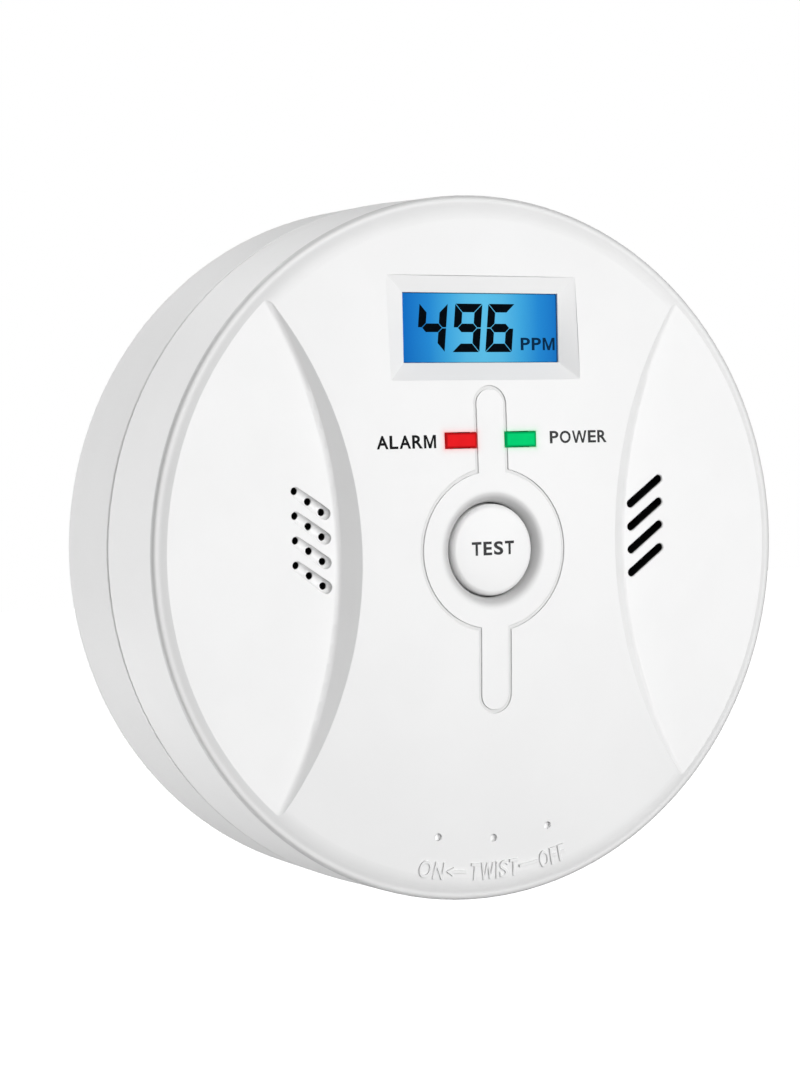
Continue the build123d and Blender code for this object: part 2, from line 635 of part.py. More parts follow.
def make_light(side, label):
    """Rectangular light with a flange, standing on its spacer."""
    with BuildPart() as light:
        with BuildSketch(at_height(SPACER_FRONT)):
            with Locations((side * LIGHT_X, LIGHT_Z)):
                RectangleRounded(LIGHT_FLANGE_WIDTH, LIGHT_FLANGE_TALL, 0.4)
        extrude(amount=1.0)
        with BuildSketch(at_height(SPACER_FRONT + 1.0)):
            with Locations((side * LIGHT_X, LIGHT_Z)):
                RectangleRounded(LIGHT_WIDTH, LIGHT_TALL, 0.15)
        extrude(amount=LIGHT_TOP - SPACER_FRONT - 1.0)
    save(light, label)


make_light(-1, "alarm_led")
make_light(1, "power_led")

with BuildPart() as led_spacers:
    with BuildSketch(at_height(BOARD_FRONT)):
        with Locations((-LIGHT_X, LIGHT_Z), (LIGHT_X, LIGHT_Z)):
            RectangleRounded(LIGHT_FLANGE_WIDTH, LIGHT_FLANGE_TALL, 0.4)
        for x in LED_PIN_X:
            with Locations((x, LIGHT_Z)):
                Circle(PIN_RADIUS + PIN_CLEARANCE, mode=Mode.SUBTRACT)
    extrude(amount=SPACER_FRONT - BOARD_FRONT)
save(led_spacers, "led_spacers")

with BuildPart() as led_leads:
    with BuildSketch(at_height(BOARD_REAR - PIN_TAIL)):
        for x in LED_PIN_X:
            with Locations((x, LIGHT_Z)):
                Circle(PIN_RADIUS)
    extrude(amount=SPACER_FRONT - BOARD_REAR + PIN_TAIL)
save(led_leads, "led_leads")

# ---------------------------------------------------------------- gas sensor, its gasket and screen
with BuildPart() as co_sensor:
    with BuildSketch(section_at(SENSOR_X, SENSOR_Z)):
        Polygon(
            (0, SENSOR_REAR),
            (SENSOR_RADIUS + 0.2, SENSOR_REAR),
            (SENSOR_RADIUS + 0.2, SENSOR_REAR + 0.7),
            (SENSOR_RADIUS, SENSOR_REAR + 0.7),
            (SENSOR_RADIUS, SENSOR_FRONT),
            (1.5, SENSOR_FRONT),
            (1.5, SENSOR_FRONT - 0.8),
            (0, SENSOR_FRONT - 0.8),
            align=None,
        )
    revolve(axis=axis_at(SENSOR_X, SENSOR_Z))
    fillet(circles_of_radius(co_sensor, SENSOR_RADIUS).sort_by(Axis.Y)[0], 0.6)
    with BuildSketch(at_height(BOARD_REAR - PIN_TAIL)):
        for x, z in SENSOR_PINS:
            with Locations((x, z)):
                Circle(PIN_RADIUS)
    extrude(amount=SENSOR_REAR - BOARD_REAR + PIN_TAIL)
save(co_sensor, "co_sensor")

with BuildPart() as sensor_gasket:
    with BuildSketch(at_height(SENSOR_FRONT + 0.05)):
        with Locations((SENSOR_X, SENSOR_Z)):
            Circle(SENSOR_RADIUS + 0.2)
            Circle(SENSOR_RADIUS - 1.0, mode=Mode.SUBTRACT)
    extrude(amount=1.0)
save(sensor_gasket, "sensor_gasket")

with BuildPart() as dust_screen:
    with BuildSketch(at_height(SENSOR_FRONT + 0.6)):
        with Locations((SENSOR_X, SENSOR_Z)):
            Circle(SENSOR_RADIUS - 1.1)
            with GridLocations(1.5, 1.5, 6, 6):
                Circle(0.45, mode=Mode.SUBTRACT)
    extrude(amount=0.25)
save(dust_screen, "dust_screen")

# ---------------------------------------------------------------- buzzer
with BuildPart() as buzzer_case:
    with BuildSketch(section_at(BUZZER_X, BUZZER_Z)):
        Polygon(
            (1.6, BUZZER_FRONT),
            (1.6, BUZZER_FRONT - 1.2),
            (BUZZER_RADIUS - 1.0, BUZZER_FRONT - 1.2),
            (BUZZER_RADIUS - 1.0, BUZZER_CAVITY),
            (0, BUZZER_CAVITY),
            (0, BOARD_FRONT),
            (BUZZER_RADIUS, BOARD_FRONT),
            (BUZZER_RADIUS, BUZZER_FRONT),
            align=None,
        )
    revolve(axis=axis_at(BUZZER_X, BUZZER_Z))
    fillet(circles_of_radius(buzzer_case, BUZZER_RADIUS).sort_by(Axis.Y)[0], 0.8)
    with BuildSketch(at_height(BOARD_REAR - PIN_TAIL)):
        for x, z in BUZZER_PINS:
            with Locations((x, z)):
                Circle(PIN_RADIUS)
    extrude(amount=BOARD_FRONT - BOARD_REAR + PIN_TAIL)
save(buzzer_case, "buzzer_case")

with BuildPart() as piezo_disc:
    with BuildSketch(at_height(PIEZO_REAR)):
        with Locations((BUZZER_X, BUZZER_Z)):
            Circle(BUZZER_RADIUS - 1.05)
    extrude(amount=0.3)
    with BuildSketch(at_height(PIEZO_REAR + 0.3)):
        with Locations((BUZZER_X, BUZZER_Z)):
            Circle(5.5)
    extrude(amount=0.2)
save(piezo_disc, "piezo_disc")

# ---------------------------------------------------------------- parts on the board
with BuildPart() as controller_chip:
    chip_z = -17.0
    with BuildSketch(at_height(BOARD_FRONT + 0.1)):
        with Locations((0, chip_z)):
            Rectangle(12.6, 7.5)
    extrude(amount=2.2)
    chamfer(controller_chip.edges().group_by(Axis.Y)[0], 0.3)
    for row in (-1, 1):
        with BuildSketch(at_height(BOARD_FRONT)):
            with Locations((0, chip_z + row * 4.5)):
                with GridLocations(1.27, 1, 9, 1):
                    Rectangle(0.45, 2.0)
        extrude(amount=0.3)
save(controller_chip, "controller_chip")

with BuildPart() as storage_capacitor:
    with BuildSketch(section_at(14.0, -23.0)):
        Polygon(
            (0, BOARD_FRONT + 0.1),
            (4.0, BOARD_FRONT + 0.1),
            (4.0, BOARD_FRONT + 1.2),
            (3.7, BOARD_FRONT + 1.5),
            (4.0, BOARD_FRONT + 1.8),
            (4.0, BOARD_FRONT + 8.0),
            (3.4, BOARD_FRONT + 8.0),
            (3.3, BOARD_FRONT + 7.8),
            (0, BOARD_FRONT + 7.8),
            align=None,
        )
    revolve(axis=axis_at(14.0, -23.0))
save(storage_capacitor, "storage_capacitor")

with BuildPart() as crystal:
    with BuildSketch(at_height(BOARD_FRONT + 0.1)):
        with Locations((-13.0, -19.0)):
            SlotOverall(10.5, 4.5, rotation=90)
    extrude(amount=3.4)
    fillet(crystal.edges().group_by(Axis.Y)[0], 0.5)
save(crystal, "crystal")

with BuildPart() as boost_coil:
    with BuildSketch(section_at(25.0, -17.0)):
        Polygon(
            (0, BOARD_FRONT + 0.1),
            (4.2, BOARD_FRONT + 0.1),
            (4.2, BOARD_FRONT + 1.0),
            (3.3, BOARD_FRONT + 1.0),
            (3.3, BOARD_FRONT + 5.2),
            (4.2, BOARD_FRONT + 5.2),
            (4.2, BOARD_FRONT + 6.1),
            (0, BOARD_FRONT + 6.1),
            align=None,
        )
    revolve(axis=axis_at(25.0, -17.0))
save(boost_coil, "boost_coil")

with BuildPart() as smd_parts:
    with BuildSketch(at_height(BOARD_FRONT)):
        with Locations((-24.0, -14.0)):
            with GridLocations(3.2, 2.6, 3, 4):
                Rectangle(2.0, 1.2)
        with Locations((10.0, -35.0), (5.0, -35.0), (0, -35.0), (-5.0, -35.0)):
            Rectangle(3.2, 1.6)
    extrude(amount=0.8)
save(smd_parts, "smd_parts")

# ---------------------------------------------------------------- battery cells, springs and contacts
CELL_ROWS = (("battery_top", 1), ("battery_middle", 0), ("battery_bottom", -1))
NUB_END = BAY_HALF_LENGTH - PLATE_THICKNESS


def cell_direction(row):
    """+1 where the positive end points to +X. Neighbouring cells point opposite ways."""
    return -1 if row == 0 else 1


for cell_label, row in CELL_ROWS:
    direction = cell_direction(row)
    body_end = NUB_END - NUB_LENGTH
    body_start = NUB_END - CELL_LENGTH
    with BuildPart() as cell:
        cell_plane = Plane(
            origin=(0, -CELL_HEIGHT, row * CELL_PITCH), x_dir=(direction, 0, 0), z_dir=(0, 0, direction)
        )
        with BuildSketch(cell_plane):
            with Locations((0, 0)):
                Polygon(
                    (body_start, 0),
                    (body_start, CELL_RADIUS),
                    (body_end, CELL_RADIUS),
                    (body_end, NUB_RADIUS),
                    (NUB_END, NUB_RADIUS),
                    (NUB_END, 0),
                    align=None,
                )
        revolve(axis=Axis((0, -CELL_HEIGHT, row * CELL_PITCH), (1, 0, 0)))
        fillet(circles_of_radius(cell, CELL_RADIUS), 0.5)
        fillet(circles_of_radius(cell, NUB_RADIUS).sort_by(Axis.X)[-1 if direction > 0 else 0], 0.3)
    save(cell, cell_label)

SPRING_WIRE = 0.3
SPRING_TURNS = 3.5
SPRING_LENGTH = 2 * NUB_END - CELL_LENGTH

# One conical spring along +X from its wide foot, then a copy at each cell's negative end
with BuildPart() as one_spring:
    with BuildLine() as coil_line:
        Helix(
            pitch=(SPRING_LENGTH - 2 * SPRING_WIRE) / SPRING_TURNS,
            height=SPRING_LENGTH - 2 * SPRING_WIRE,
            radius=4.2,
            direction=(1, 0, 0),
            cone_angle=-10,
        )
    with BuildSketch(Plane(coil_line.line @ 0, z_dir=coil_line.line % 0)):
        Circle(SPRING_WIRE)
    sweep(path=coil_line.line, is_frenet=True)

with BuildPart() as battery_springs:
    for _, row in CELL_ROWS:
        direction = cell_direction(row)
        foot = (-direction * (NUB_END - SPRING_WIRE), -CELL_HEIGHT, row * CELL_PITCH)
        with Locations(Location(foot, (0, 0, 0 if direction > 0 else 180))):
            add(one_spring.part)
save(battery_springs, "battery_springs")

with BuildPart() as contact_plates:
    plate_height = 12.0
    plate_depth = 10.0
    tab_height = 12.2
    tab_reach = 31.8
    # Single plates with solder tabs at the ends of the chain, and a wide plate across the other two cells
    for side in (-1, 1):
        plate_x = side * (BAY_HALF_LENGTH - PLATE_THICKNESS / 2) - PLATE_THICKNESS / 2
        with BuildSketch(Plane.YZ.offset(plate_x)):
            with Locations((-CELL_HEIGHT, side * CELL_PITCH)):
                Rectangle(plate_depth, plate_height)
            with Locations((-CELL_HEIGHT, -side * CELL_PITCH / 2)):
                Rectangle(plate_depth, plate_height + CELL_PITCH)
        extrude(amount=PLATE_THICKNESS)
        with BuildSketch(at_height(tab_height)):
            with Locations((side * (tab_reach + NUB_END) / 2, side * CELL_PITCH)):
                Rectangle(tab_reach - NUB_END, 2.4)
        extrude(amount=PLATE_THICKNESS)
save(contact_plates, "contact_plates")

# ---------------------------------------------------------------- battery leads
LEAD_ROUTE = ((31.0, 12.6), (31.0, 15.4), (LEAD_HOLE_X, 19.0), (LEAD_HOLE_X, BOARD_REAR))


def make_lead(side, label):
    """Insulated lead from a solder tab, through the chassis, to the back of the board."""
    points = [(side * x, -height, side * CELL_PITCH) for x, height in LEAD_ROUTE]
    with BuildPart() as lead:
        with BuildLine() as route:
            FilletPolyline(*points, radius=3.0)
        with BuildSketch(Plane(route.line @ 0, z_dir=route.line % 0)):
            Circle(LEAD_RADIUS)
        sweep(path=route.line)
    save(lead, label)


make_lead(1, "positive_lead")
make_lead(-1, "negative_lead")

# ---------------------------------------------------------------- screws


def make_screws(label, spacing_x, spacing_z, head_height, tip_height):
    """Four pan-head screws in a rectangle, with a cross recess, from the head's base to the tip."""
    facing = 1 if tip_height < head_height else -1
    with BuildPart() as screws:
        with BuildSketch(at_height(head_height)):
            with GridLocations(spacing_x, spacing_z, 2, 2):
                Circle(SCREW_HEAD_RADIUS)
        extrude(amount=facing * SCREW_HEAD_HEIGHT)
        crown = screws.edges().filter_by(GeomType.CIRCLE).group_by(Axis.Y)[0 if facing > 0 else -1]
        fillet(crown, 0.6)
        with BuildSketch(at_height(head_height)):
            with GridLocations(spacing_x, spacing_z, 2, 2):
                Circle(SCREW_RADIUS)
        extrude(amount=tip_height - head_height)
        with BuildSketch(at_height(head_height + facing * SCREW_HEAD_HEIGHT)):
            with GridLocations(spacing_x, spacing_z, 2, 2):
                Rectangle(2.4, 0.5)
                Rectangle(0.5, 2.4)
        extrude(amount=-facing * 0.8, mode=Mode.SUBTRACT)
    save(screws, label)


make_screws("chassis_screws", 2 * CHASSIS_SCREW_X, 2 * CHASSIS_SCREW_Z, CHASSIS_REAR, 28.0)
make_screws("board_screws", 2 * BOARD_SCREW_X, 2 * BOARD_SCREW_Z, BOARD_FRONT, CHASSIS_REAR + 0.6)
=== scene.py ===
"""Looks of a wall-mounted carbon monoxide alarm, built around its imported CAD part.

Metres, in the part's own frame: the wall is y = 0, the front faces -Y and z is up.
"""

import json
import math

import bmesh
import bpy
from mathutils import Matrix, Vector
from mathutils.bvhtree import BVHTree


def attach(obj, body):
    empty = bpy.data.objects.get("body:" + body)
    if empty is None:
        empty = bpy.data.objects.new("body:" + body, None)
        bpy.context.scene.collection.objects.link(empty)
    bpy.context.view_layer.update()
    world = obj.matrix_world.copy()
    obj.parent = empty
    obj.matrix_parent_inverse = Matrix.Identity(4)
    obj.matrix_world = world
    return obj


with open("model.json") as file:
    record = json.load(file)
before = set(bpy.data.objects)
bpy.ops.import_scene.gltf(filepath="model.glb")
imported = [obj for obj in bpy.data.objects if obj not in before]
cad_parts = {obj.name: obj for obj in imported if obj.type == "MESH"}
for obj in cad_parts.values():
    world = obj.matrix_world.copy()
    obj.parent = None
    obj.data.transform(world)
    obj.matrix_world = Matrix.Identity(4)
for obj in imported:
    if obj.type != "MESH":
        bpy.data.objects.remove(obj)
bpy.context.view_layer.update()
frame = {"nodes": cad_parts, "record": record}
nodes = frame["nodes"]
scene = bpy.context.scene
scene.view_settings.view_transform = "Standard"

MM = 0.001

# ---------------------------------------------------------------- shader tools


class Finish:
    """One Principled material and the few node patterns used in all of them."""

    def __init__(self, name, **values):
        self.material = bpy.data.materials.new(name)
        self.material.use_nodes = True
        self.tree = self.material.node_tree
        self.surface = self.tree.nodes["Principled BSDF"]
        self.place = self.add("ShaderNodeTexCoord").outputs["Object"]
        self.set(**values)

    def add(self, kind, **settings):
        node = self.tree.nodes.new(kind)
        for key, value in settings.items():
            setattr(node, key, value)
        return node

    def feed(self, socket, value):
        """Puts a number, a colour or another node's output into a socket."""
        if isinstance(value, bpy.types.NodeSocket):
            self.tree.links.new(value, socket)
        elif isinstance(value, (tuple, list)) and len(value) == 3 and len(socket.default_value) == 4:
            socket.default_value = (*value, 1.0)
        else:
            socket.default_value = value

    def set(self, **values):
        for key, value in values.items():
            self.feed(self.surface.inputs[key.replace("_", " ")], value)

    def maths(self, operation, *values):
        node = self.add("ShaderNodeMath", operation=operation)
        for socket, value in zip(node.inputs, values):
            self.feed(socket, value)
        return node.outputs[0]

    def mix(self, factor, first, second, blend="MIX"):
        """Two colours mixed. The node has its colour sockets at inputs 6 and 7 and at output 2."""
        node = self.add("ShaderNodeMix", data_type="RGBA", blend_type=blend)
        self.feed(node.inputs["Factor"], factor)
        self.feed(node.inputs[6], first)
        self.feed(node.inputs[7], second)
        return node.outputs[2]

    def ramp(self, value, stops):
        """Colours at places from 0 to 1."""
        node = self.add("ShaderNodeValToRGB")
        points = node.color_ramp.elements
        while len(points) < len(stops):
            points.new(0.5)
        for point, (at, colour) in zip(points, stops):
            point.position = at
            point.color = (*colour, 1)
        self.feed(node.inputs[0], value)
        return node.outputs[0]

    def span(self, value, low, high, to_low=0.0, to_high=1.0, smooth=True):
        """Maps low..high to to_low..to_high, held at both ends."""
        node = self.add("ShaderNodeMapRange")
        node.interpolation_type = "SMOOTHSTEP" if smooth else "LINEAR"
        for socket, item in zip(node.inputs, (value, low, high, to_low, to_high)):
            self.feed(socket, item)
        return node.outputs[0]

    def axis(self, name):
        return self.separate().outputs[name]

    def separate(self):
        if not hasattr(self, "parts"):
            self.parts = self.add("ShaderNodeSeparateXYZ")
            self.feed(self.parts.inputs[0], self.place)
        return self.parts

    def noise(self, size_mm, detail=3.0, stretch=(1, 1, 1), rough=0.5):
        """Soft noise with features of that size."""
        node = self.add("ShaderNodeTexNoise")
        self.feed(node.inputs["Scale"], 1 / (size_mm * MM))
        self.feed(node.inputs["Detail"], detail)
        self.feed(node.inputs["Roughness"], rough)
        if stretch != (1, 1, 1):
            scaled = self.add("ShaderNodeMapping")
            scaled.inputs["Scale"].default_value = stretch
            self.feed(scaled.inputs["Vector"], self.place)
            self.feed(node.inputs["Vector"], scaled.outputs[0])
        else:
            self.feed(node.inputs["Vector"], self.place)
        return node.outputs["Fac"]

    def cells(self, size_mm):
        """Distance from the nearest of scattered points about that far apart."""
        node = self.add("ShaderNodeTexVoronoi")
        self.feed(node.inputs["Scale"], 1 / (size_mm * MM))
        self.feed(node.inputs["Vector"], self.place)
        return node.outputs["Distance"]

    def bump(self, height, depth_mm, soften_mm=0.0):
        """Relief of that depth, over edges rounded by soften_mm."""
        node = self.add("ShaderNodeBump")
        self.feed(node.inputs["Strength"], 1.0)
        self.feed(node.inputs["Distance"], depth_mm * MM)
        self.feed(node.inputs["Height"], height)
        if soften_mm:
            edge = self.add("ShaderNodeBevel", samples=4)
            self.feed(edge.inputs["Radius"], soften_mm * MM)
            self.feed(node.inputs["Normal"], edge.outputs[0])
        self.set(Normal=node.outputs[0])

    def from_axis(self):
        """Distance from the alarm's axis, which runs along Y."""
        squares = [self.maths("POWER", self.axis(name), 2.0) for name in ("X", "Z")]
        return self.maths("SQRT", self.maths("ADD", *squares))

    def outside(self, centre, half):
        """Distance in the face's plane from a rectangle, negative inside it."""
        across = self.maths("SUBTRACT", self.axis("X"), centre[0] * MM)
        across = self.maths("SUBTRACT", self.maths("ABSOLUTE", across), half[0] * MM)
        along = self.maths("SUBTRACT", self.axis("Z"), centre[1] * MM)
        along = self.maths("SUBTRACT", self.maths("ABSOLUTE", along), half[1] * MM)
        deepest = self.maths("MINIMUM", self.maths("MAXIMUM", across, along), 0.0)
        across = self.maths("MAXIMUM", across, 0.0)
        along = self.maths("MAXIMUM", along, 0.0)
        reach = self.maths("ADD", self.maths("POWER", across, 2.0), self.maths("POWER", along, 2.0))
        return self.maths("ADD", self.maths("SQRT", reach), deepest)


def screen_colour(red, green, blue):
    """A colour as seen on a screen, 0 to 255, as the linear light that shows it."""

    def linear(value):
        share = value / 255
        return share / 12.92 if share <= 0.04045 else ((share + 0.055) / 1.055) ** 2.4

    return (linear(red), linear(green), linear(blue))


# ---------------------------------------------------------------- finishes

# Places on the cover, in mm: across and up from the axis, or out from the wall
LIGHT_X = 4.8
LIGHT_Z = 15.5
LIGHT_HALF = (2.45, 1.05)
RIM_RADIUS = 50.0
RIM_HEIGHT = 35.0
RING_RADIUS = 11.35
STEM_HALF = 2.4
STEM_END = 22.9
GLASS_MIDDLE = (0.0, 31.3)
GLASS_HALF = (12.45, 4.85)
PANEL_FRONT = 35.65

# Vents on the left and sound slots on the right: the middle and half size of each group, in mm
VENT_X = 27.1
VENT_Z = 2.4
OPENINGS_HALF = (3.4, 8.0)
# Where their walls start, in mm along Y. The vents' grooves slope between these two places across.
VENT_LEFT, VENT_RIGHT = -29.3, -24.9
VENT_MOUTH_LEFT, VENT_MOUTH_RIGHT = -35.13, -34.68
SLOT_MOUTH = -35.35

# How far the cover's colour turns to shade in the groove, in the button's well and on the rim's corner
GROOVE_SHADE = 0.45
WELL_SHADE = 0.52
RIM_SHADE = 0.75
SHADED = (0.5, 0.5, 0.5)
DEEP_SHADED = (0.3, 0.3, 0.3)
UNLIT = (0.004, 0.004, 0.004)
# Between which distances each shade fades, in mm: from the groove's line, from the axis, and on the
# corner inwards from the rim's radius and back from its front
GROOVE_FADE = (0.1, 0.34)
WELL_FADE = (7.3, 8.6)
RIM_FADE_INWARDS = (0.9, 0.25)
RIM_FADE_BACK = (0.75, 0.45)

# What mottling and stains leave of a surface's brightness
MOTTLING = 0.985
STAIN = 0.8

# The two lights: how brightly they shine, and the glow painted on the cover round them, as emission and in
# its colour, in mm and as shares
LENS_STRENGTH = 0.88
GLOW_REACH = 0.3
PAINTED_GLOW_SHARE = 0.6
GLOW_STRENGTH = 0.12
GLOW_FROM, GLOW_FULL = 34.5, 35.5

RED = screen_colour(238, 33, 38)
GREEN = screen_colour(8, 213, 118)


def moulded(name, colour, roughness, grain_mm=0.35, depth_mm=0.003, soften_mm=0.12, shine=0.5):
    """Injection-moulded plastic: a fine spark-eroded grain, and slight flow mottling."""
    finish = Finish(name, Specular_IOR_Level=shine, IOR=1.5)
    mottle = finish.noise(14.0, 2.0)
    fine = finish.noise(grain_mm, 2.0)
    dark = tuple(MOTTLING * c for c in colour)
    finish.set(Base_Color=finish.mix(finish.span(mottle, 0.35, 0.65), dark, colour))
    finish.set(Roughness=finish.span(fine, 0.3, 0.7, roughness - 0.05, roughness + 0.06))
    finish.bump(fine, depth_mm, soften_mm)
    return finish


def metal(name, colour, roughness, brush=(1, 1, 1), size_mm=0.4, depth_mm=0.004):
    """Plated or rolled metal with drawn or brushed lines and faint staining."""
    finish = Finish(name, Metallic=1.0)
    lines = finish.noise(size_mm, 4.0, brush, 0.6)
    blotch = finish.noise(3.0, 3.0)
    dull = tuple(STAIN * c for c in colour)
    finish.set(Base_Color=finish.mix(finish.span(blotch, 0.4, 0.7), colour, dull))
    finish.set(Roughness=finish.span(lines, 0.3, 0.7, roughness - 0.08, roughness + 0.1))
    finish.bump(lines, depth_mm, 0.06)
    return finish


def in_groove(finish):
    """Share of shade in the keyhole groove round the button."""
    x, z = finish.axis("X"), finish.axis("Z")
    across = finish.maths("POWER", x, 2.0)
    beyond = finish.maths("SUBTRACT", finish.maths("ABSOLUTE", z), (STEM_END - STEM_HALF) * MM)
    beyond = finish.maths("POWER", finish.maths("MAXIMUM", beyond, 0.0), 2.0)
    stem = finish.maths("SQRT", finish.maths("ADD", across, beyond))
    stem = finish.maths("SUBTRACT", stem, STEM_HALF * MM)
    ring = finish.maths("SUBTRACT", finish.from_axis(), RING_RADIUS * MM)
    off_line = finish.maths("ABSOLUTE", finish.maths("MINIMUM", stem, ring))
    full, none = (distance * MM for distance in GROOVE_FADE)
    return finish.span(off_line, full, none, GROOVE_SHADE, 0.0)


def in_well(finish):
    """Share of shade in the rounded well of the button, under its cap."""
    full, none = (radius * MM for radius in WELL_FADE)
    return finish.span(finish.from_axis(), full, none, WELL_SHADE, 0.0)


def on_rim_corner(finish):
    """Share of shade on the corner between the side wall and the rim."""
    across = [(RIM_RADIUS - inset) * MM for inset in RIM_FADE_INWARDS]
    back = [(setback - RIM_HEIGHT) * MM for setback in RIM_FADE_BACK]
    outer = finish.span(finish.from_axis(), *across)
    front = finish.span(finish.axis("Y"), *back)
    return finish.maths("MULTIPLY", RIM_SHADE, finish.maths("MULTIPLY", outer, front))


def in_openings(finish):
    """1 on the walls of the vent holes and sound slots, below their mouths, where painted shade turns them
    near black.
    """
    x = finish.axis("X")
    vents = [VENT_MOUTH_LEFT * MM, VENT_MOUTH_RIGHT * MM]
    below_groove = finish.span(x, VENT_LEFT * MM, VENT_RIGHT * MM, *vents, smooth=False)
    mouth = finish.span(x, 0.0, 1.0 * MM, below_groove, SLOT_MOUTH * MM, smooth=False)
    low = finish.maths("GREATER_THAN", finish.axis("Y"), mouth)
    across = finish.maths("SUBTRACT", finish.maths("ABSOLUTE", x), VENT_X * MM)
    across = finish.maths("LESS_THAN", finish.maths("ABSOLUTE", across), OPENINGS_HALF[0] * MM)
    along = finish.maths("SUBTRACT", finish.axis("Z"), VENT_Z * MM)
    along = finish.maths("LESS_THAN", finish.maths("ABSOLUTE", along), OPENINGS_HALF[1] * MM)
    return finish.maths("MULTIPLY", low, finish.maths("MULTIPLY", across, along))


def white_cover():
    """The cover: white ABS, with the two lights' glow painted on round them as emission and in its colour,
    and painted shade in its groove, well, rim corner and openings.
    """
    finish = moulded("white_abs", (0.86, 0.86, 0.86), 0.42)
    base = finish.surface.inputs["Base Color"].links[0].from_socket
    glow = None
    # Painted glow round the two lights: emission, and the lights' colour mixed into the cover's own
    # colour, on its front only
    in_front = finish.span(finish.axis("Y"), -GLOW_FROM * MM, -GLOW_FULL * MM)
    for x, colour in ((-LIGHT_X, RED), (LIGHT_X, GREEN)):
        gap = finish.outside((x, LIGHT_Z), LIGHT_HALF)
        near = finish.maths("POWER", math.e, finish.maths("DIVIDE", gap, -GLOW_REACH * MM))
        near = finish.maths("MULTIPLY", near, in_front)
        light = finish.mix(near, (0, 0, 0), colour)
        glow = light if glow is None else finish.mix(1.0, glow, light, "ADD")
        base = finish.mix(finish.maths("MULTIPLY", near, PAINTED_GLOW_SHARE), base, colour)
    base = finish.mix(in_groove(finish), base, SHADED)
    base = finish.mix(on_rim_corner(finish), base, SHADED)
    base = finish.mix(in_well(finish), base, DEEP_SHADED)
    # Painted shade: the openings' white walls are turned near black
    base = finish.mix(in_openings(finish), base, UNLIT)
    finish.set(Base_Color=base, Emission_Color=glow, Emission_Strength=GLOW_STRENGTH)
    return finish


def lens(name, colour, x):
    """A lit light pipe: even colour, with a darker line of the same hue round its edge."""
    finish = Finish(name, Roughness=0.5, Specular_IOR_Level=0.0, Base_Color=tuple(0.1 * c for c in colour))
    gap = finish.outside((x, LIGHT_Z), LIGHT_HALF)
    edge = finish.span(gap, -0.36 * MM, -0.1 * MM, 1.0, 0.5)
    ripple = finish.span(finish.noise(1.1, 2.0), 0.3, 0.7, 0.94, 1.0)
    level = finish.maths("MULTIPLY", edge, ripple)
    finish.set(Emission_Color=finish.mix(level, (0, 0, 0), colour), Emission_Strength=LENS_STRENGTH)
    finish.bump(finish.noise(0.5, 2.0), 0.002, 0.1)
    return finish


def lit_display():
    """The display glass: blue backlight, palest in the middle, under a dark sealed border."""
    finish = Finish("display_glass", Roughness=0.5, Specular_IOR_Level=0.0, Base_Color=(0.004, 0.01, 0.02))
    off_centre = finish.maths("ABSOLUTE", finish.maths("SUBTRACT", finish.axis("X"), 0.6 * MM))
    blue = finish.ramp(
        finish.span(off_centre, 0.0, 13.0 * MM, smooth=False),
        [
            (0.0, screen_colour(92, 192, 233)),
            (0.22, screen_colour(88, 186, 230)),
            (0.45, screen_colour(62, 166, 222)),
            (0.68, screen_colour(34, 136, 210)),
            (1.0, screen_colour(10, 106, 192)),
        ],
    )
    lower = finish.span(finish.axis("Z"), 26.4 * MM, 30.0 * MM, 0.95, 1.0)
    film = finish.span(finish.noise(0.16, 2.0), 0.3, 0.7, 0.96, 1.0)
    blue = finish.mix(finish.maths("MULTIPLY", lower, film), (0, 0, 0), blue)
    rim = finish.outside(GLASS_MIDDLE, GLASS_HALF)
    rim = finish.span(rim, -0.12 * MM, 0.06 * MM)
    front = finish.span(finish.axis("Y"), (0.05 - PANEL_FRONT) * MM, (0.01 - PANEL_FRONT) * MM)
    lit = finish.maths("MULTIPLY", front, finish.maths("SUBTRACT", 1.0, rim))
    finish.set(Emission_Color=finish.mix(lit, (0, 0, 0), blue), Emission_Strength=1.0)
    finish.bump(finish.noise(0.3, 2.0), 0.001)
    return finish


def circuit_board():
    """Green solder mask, lighter over the copper tracks, with tinned pads."""
    finish = Finish("solder_mask", Roughness=0.32)
    bricks = finish.add("ShaderNodeTexBrick", offset=0.37, squash=1.0)
    finish.feed(bricks.inputs["Vector"], finish.mix(0.06, finish.place, finish.noise(2.0)))
    for socket, value in (("Scale", 160.0), ("Mortar Size", 0.028), ("Brick Width", 0.7)):
        finish.feed(bricks.inputs[socket], value)
    track = finish.maths("GREATER_THAN", bricks.outputs["Fac"], 0.5)
    pads = finish.maths("LESS_THAN", finish.cells(2.6), 0.14)
    mask = finish.mix(finish.noise(6.0), (0.006, 0.10, 0.035), (0.01, 0.15, 0.05))
    colour = finish.mix(track, mask, (0.03, 0.26, 0.08))
    colour = finish.mix(pads, colour, (0.62, 0.62, 0.58))
    finish.set(Base_Color=colour, Metallic=finish.maths("MULTIPLY", pads, 0.8))
    finish.bump(finish.maths("ADD", track, pads), 0.02, 0.05)
    return finish


def cell_jacket():
    """A battery's printed sleeve: a dark body and a copper-coloured shoulder, lightly scuffed."""
    finish = Finish("cell_sleeve", Roughness=0.3, Coat_Weight=0.35)
    shoulder = finish.span(finish.maths("ABSOLUTE", finish.axis("X")), 14.0 * MM, 14.3 * MM)
    scuff = finish.span(finish.noise(0.5, 4.0, (0.2, 1, 1)), 0.62, 0.72)
    colour = finish.mix(shoulder, (0.012, 0.012, 0.014), (0.55, 0.25, 0.08))
    finish.set(Base_Color=finish.mix(scuff, colour, (0.35, 0.33, 0.3)))
    finish.set(Metallic=finish.maths("MULTIPLY", shoulder, 0.8))
    finish.bump(finish.noise(0.8, 3.0), 0.01, 0.1)
    return finish


